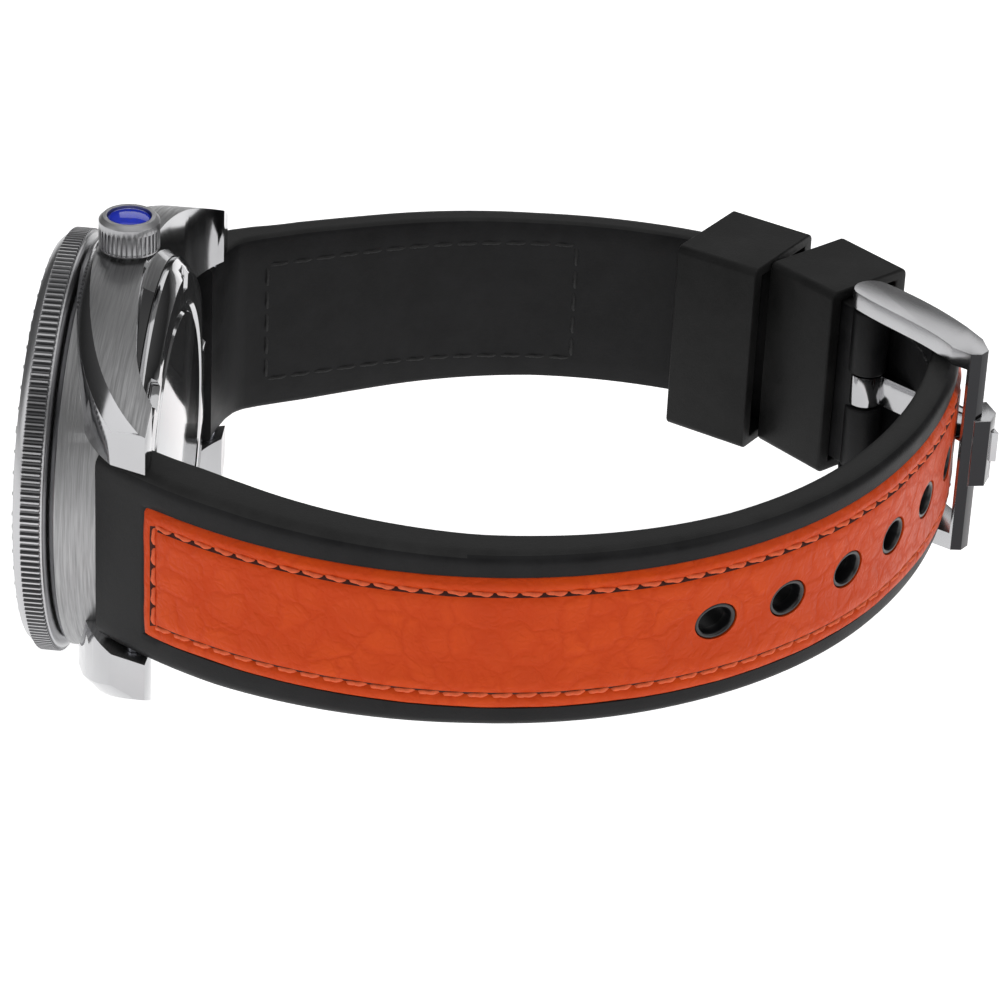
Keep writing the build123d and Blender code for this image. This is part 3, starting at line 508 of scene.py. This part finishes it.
def inlayBody(name, spec):
    low, high = spec["inlay"][0] + 0.22, spec["inlay"][1] - 0.1
    half, inset = strapShape["inlayHalf"] - 0.08, strapShape["stitchInset"]
    columns = round((high - low) / 0.45)
    bpy.ops.mesh.primitive_grid_add(x_subdivisions=columns, y_subdivisions=30, size=1)
    sheet = added(name)
    for vertex in sheet.data.vertices:
        along, across = (vertex.co.x + 0.5) * (high - low) + low, vertex.co.y * 2 * half
        edge = min(along - low, high - along, half - abs(across))
        near = [max(0, 0.6 - gap) for gap in (min(along - low, high - along), half - abs(across))]
        if min(near) > 0 and math.hypot(*near) > 0.6:  # rounded corners
            pull = 0.6 / math.hypot(*near)
            along += (near[0] - near[0] * pull) * (1 if along - low < 2 else -1)
            across -= math.copysign(near[1] - near[1] * pull, across)
        rise = 0.12 - 0.42 * max(0, 1 - edge / 0.5) ** 2
        groove = stitchGroove(along, across, low + inset, high - inset, half - inset)
        pad = 0.07 * math.exp(-((half - inset - 1.2 - abs(across)) / 1.0) ** 2)
        vertex.co = Vector((along, -(rise + pad - 0.34 * groove), across)) * mm
    outward(sheet)
    for kind, size, strength in strapShape["grain"]:
        texture = bpy.data.textures.new(name + kind, kind)
        texture.noise_scale = size
        modify(sheet, "DISPLACE", texture=texture, direction="Y", strength=-strength, mid_level=0.5,
               texture_coords="LOCAL")
    modify(sheet, "SOLIDIFY", thickness=0.5 * mm, offset=0, use_even_offset=False)
    outward(sheet)
    lift = max(v.co.y for v in sheet.data.vertices) - (strapShape["recess"] - 0.03) * mm
    for vertex in sheet.data.vertices:
        vertex.co.y -= max(0, vertex.co.y) * max(0, lift) / (lift + strapShape["recess"] * mm)
    return sheet


def flipped(obj, spec):  # short strap: depth under the outer face becomes height over the inner face
    if not spec["outerFirst"]:
        for vertex in obj.data.vertices:
            vertex.co.y = level(spec, vertex.co.x / mm, vertex.co.y / mm) * mm
        only(obj)
        obj.data.flip_normals()
    return obj


def bent(obj, path, angle=35):
    settle(obj)
    modify(obj, "CURVE", object=path, deform_axis="POS_X")
    return smooth(obj, angle)


def stitchMesh(name, length, radius, ply=2.6):
    bpy.ops.mesh.primitive_cylinder_add(
        vertices=8, radius=radius * mm, depth=length * mm, rotation=(0, math.pi / 2, 0),
    )
    thread = settle(added(name))
    points = thread.data.vertices
    pick(thread, lambda edge: abs(points[edge.vertices[0]].co.x - points[edge.vertices[1]].co.x)
         > length * 0.5 * mm, "EDGE")
    bpy.ops.mesh.subdivide(number_cuts=9)
    done()
    for vertex in thread.data.vertices:
        along, y, z = vertex.co / mm
        reach = 2 * along / length
        turn = math.atan2(z, y)
        swell = radius * (1 + 0.2 * math.cos(2 * (turn - ply * along))) * (1 - 0.45 * reach ** 4)
        dip = 0.26 * reach ** 4
        vertex.co = Vector((along, dip + swell * math.cos(turn), swell * math.sin(turn))) * mm
    return thread


def stitchLine(name, low, high, inset, depth, pitch, slant=0.0, radius=0.25):
    count = round((high - low) / pitch)
    step = (high - low) / count
    parts = []
    for side in (-1, 1):
        for i in range(count):
            parts.append(((low + (i + 0.5) * step, depth, side * inset), slant * side))
    across = round(2 * inset / pitch)
    for at in (low, high):
        for i in range(across):
            parts.append(((at, depth, -inset + (i + 0.5) * 2 * inset / across), 90))
    first = stitchMesh(name, pitch * 0.94, radius)
    made = []
    for spot, turn in parts:
        twin = copied(first)
        slope = Euler((0, math.radians(turn), 0)).to_matrix().to_4x4()
        twin.data.transform(Matrix.Translation(Vector(spot) * mm) @ slope)
        made.append(twin)
    bpy.data.objects.remove(first)
    return joined(made, name)


def eyeletRow(name, spots):
    shape = eyelet
    rings = [  # (share of the way from hole to rim, depth)
        (1.0, 0.72), (1.0, -0.02), (0.94, -0.16), (0.8, -0.25), (0.55, -shape["proud"]), (0.3, -0.25),
        (0.12, -0.14), (0.0, 0.05), (0.0, 1.0),
    ]
    made = []
    for spot in spots:
        bpy.ops.mesh.primitive_circle_add(
            vertices=shape["sides"], radius=mm, fill_type="NOTHING", rotation=(math.pi / 2, 0, 0),
        )
        ring = settle(added(name))
        pick(ring, lambda vertex: True)
        for share, depth in rings[1:]:
            bpy.ops.mesh.extrude_edges_move(TRANSFORM_OT_translate={"value": (0, 0.1 * mm, 0)})
        done()
        sides = shape["sides"]
        for index, vertex in enumerate(ring.data.vertices):
            share, depth = rings[round(vertex.co.y / (0.1 * mm))]
            angle = math.atan2(vertex.co.z, vertex.co.x)
            size = [low + (high - low) * share for low, high in zip(shape["hole"], shape["outer"])]
            vertex.co = Vector((spot + size[0] * math.cos(angle), depth, size[1] * math.sin(angle))) * mm
        made.append(ring)
    return outward(joined(made, name))


def ovalCutter(name, spots, size):
    made = []
    for spot in spots:
        bpy.ops.mesh.primitive_cylinder_add(
            vertices=eyelet["sides"], radius=mm, depth=16 * mm, rotation=(math.pi / 2, 0, 0),
        )
        tool = added(name)
        tool.scale, tool.location = (size[0], size[1], 1), (spot * mm, 0, 0)
        made.append(settle(tool))
    return joined(made, name)


buckleBar = (65.807, 25.119)
frameTurn = -42.0
slot = {"long": 13, "middle": (10.5, 1.45, 0)}  # room for the frame's arms and tongue through the strap
loop = {"radius": 1.9, "width": 6.85, "centre": 5.325}


def passage(name, width, tall):
    bpy.ops.mesh.primitive_cube_add(size=1)
    tool = added(name)
    tool.scale = Vector((slot["long"], tall, width)) * mm
    tool.location = Vector(slot["middle"]) * mm
    settle(tool)
    bar = Matrix.Translation((buckleBar[0] * mm, buckleBar[1] * mm, 0))
    tool.data.transform(bar @ Matrix.Rotation(math.radians(frameTurn), 4, "Z"))
    return tool


def headRoom(name):
    made = []
    for radius, low, high in ((20.0, -14, -1.4), (18.75, -1.5, 0.65)):
        bpy.ops.mesh.primitive_cylinder_add(
            vertices=192, radius=radius * mm, depth=(high - low) * mm, rotation=(0, math.pi / 2, 0),
            location=((low + high) / 2 * mm, 0, 0),
        )
        made.append(settle(added(name)))
    return cutAway(made[0], made[1], "UNION")


def barLoops(name):  # rubber wrapped round the buckle bar, open in the middle for the tongue
    made = []
    for side in (-1, 1):
        bpy.ops.mesh.primitive_cylinder_add(
            vertices=64, radius=loop["radius"] * mm, depth=loop["width"] * mm,
            location=(buckleBar[0] * mm, buckleBar[1] * mm, side * loop["centre"] * mm),
        )
        half = settle(added(name))
        modify(half, "BEVEL", width=0.2 * mm, segments=3, limit_method="ANGLE")
        made.append(half)
    return joined(made, name)


for key, spec in straps.items():
    path = strapPath(key + "Path", spec)
    total = sum(length for length, turn in spec["arcs"])
    low, high = spec["inlay"]
    spots = [eyelet["first"] + eyelet["pitch"] * i for i in range(eyelet["count"])] if key == "long" else []
    body = strapBody("strap" + key.title(), spec)
    sheet = inlayBody("inlay" + key.title(), spec)
    if spots:
        cutAway(body, ovalCutter("holes", spots, [s + 0.02 for s in eyelet["hole"]]))
        cutAway(sheet, ovalCutter("holes", spots, [s + 0.04 for s in eyelet["outer"]]))
    flipped(sheet, spec)
    dress(body, "strapBlack", "strapEdge")
    for face in body.data.polygons:
        face.material_index = 1 if abs(face.center.z) > 8.7 * mm and abs(face.normal.z) > 0.6 else 0
    dress(sheet, "leather", "seamShade")
    seam = (low + strapShape["stitchInset"] + 0.1, high - strapShape["stitchInset"] - 0.1)
    row = strapShape["inlayHalf"] - 0.08 - strapShape["stitchInset"]
    for face in sheet.data.polygons:
        if face.normal.y * (1 if spec["outerFirst"] else -1) < -0.3:
            shade = stitchGroove(face.center.x / mm, face.center.z / mm, *seam, row)
            face.material_index = 1 if shade > 0.8 else 0
    bent(body, path)
    bent(sheet, path, 60)
    cutAway(body, headRoom("room"))
    if not spots:
        cutAway(body, barLoops("barLoops"), "UNION")
    if spots:
        cutAway(body, passage("passage", 2.9, 2.6))
        cutAway(sheet, passage("passage", 3.0, 2.7))
    smooth(body)
    inset = strapShape["inlayHalf"] - 0.08 - strapShape["stitchInset"]
    edge = strapShape["stitchInset"] + 0.1
    outerRow = stitchLine(
        "stitches" + key.title(), low + edge, high - edge, inset, -0.16, strapShape["stitchPitch"], 6,
    )
    dress(bent(flipped(outerRow, spec), path, 80), "thread")
    backHalf = 9.8 - strapShape["backInset"]
    thick = lambda s: ramp(spec["thickness"], s)
    innerRow = stitchLine("backStitches" + key.title(), low + 2.2, high - 1.0, backHalf, 0, 2.6, 0, 0.2)
    for vertex in innerRow.data.vertices:
        depth = thick(vertex.co.x / mm) - 0.02 - vertex.co.y / mm
        vertex.co.y = level(spec, vertex.co.x / mm, depth) * mm
    dress(bent(outward(innerRow), path, 80), "darkThread")
    if spots:
        rims = dress(bent(eyeletRow("eyelets", spots), path, 60), "eyeletGloss")
        place(rims, "case", "black_rubber")
    place(body, "case", "black_rubber", "strap_" + key)
    place(sheet, "case", "orange_leather", "inlay_" + key)
    place(outerRow, "case", "orange_thread", "stitches_" + key)
    place(innerRow, "case", "black_rubber")
    bpy.data.objects.remove(path)
    print("strap made:", key)


# metal and rubber pieces taken over from their CAD solids with softened edges

def refined(name, node, width, slot, body, *looks, segments=2, limit=30, pickLook=None, weld=0.004):
    piece = nodes[node].copy()
    piece.data = nodes[node].data.copy()
    piece.name = piece.data.name = name
    piece.parent = None
    piece.matrix_world = Matrix()
    bpy.context.collection.objects.link(piece)
    pick(piece, lambda v: True)
    bpy.ops.mesh.remove_doubles(threshold=weld * mm)
    bpy.ops.mesh.select_all(action="SELECT")
    bpy.ops.mesh.dissolve_limited(angle_limit=math.radians(1.5))
    done()
    if width:
        modify(piece, "BEVEL", width=width * mm, segments=segments, limit_method="ANGLE",
               angle_limit=math.radians(limit), use_clamp_overlap=True, harden_normals=False)
    dress(piece, *looks)
    if pickLook:
        for face in piece.data.polygons:
            face.material_index = pickLook(face)
    smooth(piece, 40)
    return place(piece, body, slot, node)


def caseLook(face):
    normal, spot = face.normal, face.center / mm
    if abs(normal.z) > 0.8 or (abs(normal.x) < 0.35 and math.hypot(spot.y, spot.z) < 20.6):
        return 0
    return 1


def buckleLook(face):  # the free end of the frame, its faces facing ahead, gets dark steel as a painted dark reflection
    turn = math.radians(frameTurn)
    ahead = face.normal.x * math.cos(turn) + face.normal.y * math.sin(turn)
    return 1 if ahead > 0.5 and abs(face.normal.z) < 0.25 else 0


refined("midCase", "mid_case", 0.1, "case_steel", "case", "brushedCase", "polished", pickLook=caseLook)
refined("casebackPlate", "caseback", 0.07, "polished_steel", "case", "mirror")
refined("keeperFree", "keeper_free", 0.3, "black_rubber", "keeper", "keeperBlack", segments=3)
refined("keeperFixed", "keeper_fixed", 0.3, "black_rubber", "case", "keeperBlack", segments=3)
refined("buckleFrame", "buckle_frame", 0.28, "polished_steel", "buckle", "buckleSteel", "steelPaintedDarkReflection",
        segments=3, pickLook=buckleLook)
refined("buckleTongue", "buckle_tongue", 0.12, "polished_steel", "tongue", "polished")
refined("crownBody", "crown", 0.06, "polished_steel", "crown", "crownSteel", "crownRim",
        pickLook=lambda face: 1 if face.normal.z > 0.5 else 0)
print("refined pieces made")

# bezel ring: turned section with a coin edge

bezel = {
    "teeth": 192, "outer": 20.5, "toothDepth": 0.3, "toothBand": (-11.35, -9.55),
    "section": [
        (-9.1, 16.86), (-9.1, 19.5), (-9.2, 19.9), (-9.35, 20.1), (-9.5, 20.15), (-9.55, 20.45),
        (-9.62, 20.5),
        (-11.28, 20.5), (-11.35, 20.42), (-11.42, 20.1), (-11.6, 20.02), (-11.95, 19.78), (-12.12, 19.62),
        (-12.2, 19.55), (-12.15, 19.48), (-11.8, 19.48), (-11.8, 17.1), (-12.28, 17.08), (-12.28, 16.86),
    ],
}


def turned(name, section, steps):
    bpy.ops.mesh.primitive_circle_add(vertices=len(section), radius=0.01, fill_type="NOTHING")
    ring = added(name)
    for vertex, (x, radius) in zip(ring.data.vertices, section):
        vertex.co = (x * mm, radius * mm, 0)
    pick(ring, lambda vertex: True)
    bpy.ops.mesh.spin(steps=steps, angle=math.tau, center=(0, 0, 0), axis=(1, 0, 0))
    done()
    return outward(ring)


ring = turned("bezelRing", bezel["section"], bezel["teeth"] * 4)
for vertex in ring.data.vertices:
    x, radius = vertex.co.x / mm, math.hypot(vertex.co.y, vertex.co.z) / mm
    if radius > 20.3 and -11.4 < x < -9.5:
        step = round(math.atan2(vertex.co.z, vertex.co.y) / math.tau * bezel["teeth"] * 4) % 4
        if step in (2, 3):
            shrink = (radius - bezel["toothDepth"]) / radius
            vertex.co.y, vertex.co.z = vertex.co.y * shrink, vertex.co.z * shrink
dress(smooth(ring, 25), "bezelSteel", "bezelGroovePaintedShade")
# groove floors between the teeth get the darker steel as painted shade
for face in ring.data.polygons:
    x, y, z = face.center / mm
    face.material_index = 1 if -11.35 < x < -9.55 and 19.9 < math.hypot(y, z) < 20.38 else 0
place(ring, "bezel", "bezel_steel", "bezel_ring")

# crown cabochon

cap = {"radius": 2.1, "stem": -4.7, "seat": 23.95, "skirt": 0.5, "dome": 0.32}
bpy.ops.mesh.primitive_uv_sphere_add(segments=48, ring_count=24, radius=cap["radius"] * mm)
gem = added("crownCabochon")
pick(gem, lambda vertex: vertex.co.z < -0.0001)
bpy.ops.mesh.delete(type="VERT")
pick(gem, lambda vertex: True)
bpy.ops.mesh.select_all(action="DESELECT")
bpy.ops.mesh.select_non_manifold()
bpy.ops.mesh.extrude_edges_move(TRANSFORM_OT_translate={"value": (0, 0, -cap["skirt"] * mm)})
bpy.ops.mesh.edge_face_add()
done()
for vertex in gem.data.vertices:
    z = vertex.co.z
    rise = z * cap["dome"] if z > 0 else z
    vertex.co = (vertex.co.x + cap["stem"] * mm, vertex.co.y, cap["seat"] * mm + rise)
place(dress(smooth(outward(gem), 50), "cabochon"), "crown", "blue_cap", "crown_cap")
print("bezel and crown made")

# markings on the insert and dial

def mark(name, points, low, high, turn):  # flat bar on the dial side, seen along X
    bpy.ops.mesh.primitive_cube_add(size=1)
    bar = added(name)
    (r0, r1), width = points
    bar.scale = Vector((high - low, r1 - r0, width)) * mm
    bar.location = Vector(((low + high) / 2, (r0 + r1) / 2, 0)) * mm
    settle(bar)
    bar.data.transform(Matrix.Rotation(math.radians(turn), 4, "X"))
    return bar


def numeral(name, text, radius, turn, size, low, high):
    bpy.ops.object.text_add()
    letter = bpy.context.active_object
    letter.data.body, letter.data.size = text, size * mm
    letter.data.align_x, letter.data.align_y = "CENTER", "CENTER"
    letter.data.extrude = (high - low) / 2 * mm
    bpy.ops.object.convert(target="MESH")
    letter = added(name)
    facing = Matrix(((0, 0, -1, 0), (0, 1, 0, 0), (1, 0, 0, 0), (0, 0, 0, 1)))
    spot = Matrix.Translation(Vector(((low + high) / 2, radius, 0)) * mm)
    letter.data.transform(Matrix.Rotation(math.radians(turn), 4, "X") @ spot @ facing)
    return outward(letter)


bars = [mark("tick", ((17.5, 19.2), 0.28 if minute % 5 else 0.7), -12.36, -12.0, 6 * minute)
        for minute in range(60) if minute % 10]
bars += [numeral("tick", str(minute), 18.3, 6 * minute, 2.1, -12.36, -12.0)
         for minute in (10, 20, 30, 40, 50)]
place(dress(joined(bars, "insertPrint"), "print"), "bezel", "luminous")
fine, broad = ((13.1, 13.7), 0.14), ((13.1, 13.8), 0.32)
track = [mark("dialTick", fine if minute % 5 else broad, -8.26, -8.15, 6 * minute) for minute in range(60)]
place(dress(joined(track, "minuteTrack"), "print"), "case", "luminous")
print("markings made")

# camera, light and floor

view = {
    "azimuth": 4.36, "elevation": 29.0, "roll": 2.80,
    "distance": 409.69, "target": (31.45, 0, -2.67), "lens": 153.05,
}
turn, rise, roll = (math.radians(view[key]) for key in ("azimuth", "elevation", "roll"))
back = Vector((math.sin(turn) * math.cos(rise), -math.cos(turn) * math.cos(rise), math.sin(rise)))
right = (-back).cross(Vector((0, 0, 1))).normalized()
up = right.cross(-back)
tilted = (right * math.cos(roll) + up * math.sin(roll), up * math.cos(roll) - right * math.sin(roll), back)
camera = bpy.data.objects.new("camera", bpy.data.cameras.new("camera"))
bpy.context.collection.objects.link(camera)
camera.data.lens, camera.data.sensor_width = view["lens"], 36
camera.data.clip_start, camera.data.clip_end = 0.01, 10
camera.matrix_world = Matrix.Translation(Vector(view["target"]) * mm + back * view["distance"] * mm) @ Matrix(
    [[axis[row] for axis in tilted] for row in range(3)]).to_4x4()
bpy.context.scene.camera = camera

bpy.ops.mesh.primitive_plane_add(size=6, location=(0.03, 0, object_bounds()[0][2] - 0.0002))
floor = added("floor")
floorFinish = Finish(
    "floorWhite", Base_Color=(0.93, 0.93, 0.93), Roughness=0.9,
    Emission_Color=(1, 1, 1), Emission_Strength=0.84,
)
floor.data.materials.append(floorFinish.material)

lights = {  # place in mm, size in mm, watts
    "top": ((40, -60, 420), (420, 420), 0.4),
    "left": ((-330, -160, 160), (220, 260), 0.24),
    "front": ((60, -430, 120), (420, 160), 0.26),
    "right": ((330, -60, 170), (160, 300), 0.2),
    "behind": ((60, 380, 260), (420, 200), 0.26),
}
for name, (spot, size, watts) in lights.items():
    lamp = bpy.data.lights.new(name, "AREA")
    lamp.shape, lamp.size, lamp.size_y, lamp.energy = "RECTANGLE", size[0] * mm, size[1] * mm, watts
    holder = bpy.data.objects.new(name, lamp)
    bpy.context.collection.objects.link(holder)
    holder.location = Vector(spot) * mm
    holder.rotation_euler = (Vector((35, 0, 0)) * mm - holder.location).to_track_quat("-Z", "Y").to_euler()

world = bpy.data.worlds.new("studio")
bpy.context.scene.world = world
world.use_nodes = True
tree = world.node_tree
sky = tree.nodes["Background"]
coord = tree.nodes.new("ShaderNodeTexCoord")
split = tree.nodes.new("ShaderNodeSeparateXYZ")
shades = tree.nodes.new("ShaderNodeValToRGB")
tree.links.new(coord.outputs["Generated"], split.inputs[0])
tree.links.new(split.outputs["Z"], shades.inputs[0])
for stop in range(2):
    shades.color_ramp.elements.new(0.5)
skyStops = ((0.0, 0.5), (0.12, 0.06), (0.4, 0.2), (0.9, 0.7))  # height, grey
for element, (position, grey) in zip(shades.color_ramp.elements, skyStops):
    element.position, element.color = position, (grey, grey, grey, 1)
tree.links.new(shades.outputs[0], sky.inputs["Color"])
sky.inputs["Strength"].default_value = 0.42
bpy.context.scene.view_settings.view_transform = "Standard"
print("stage set")
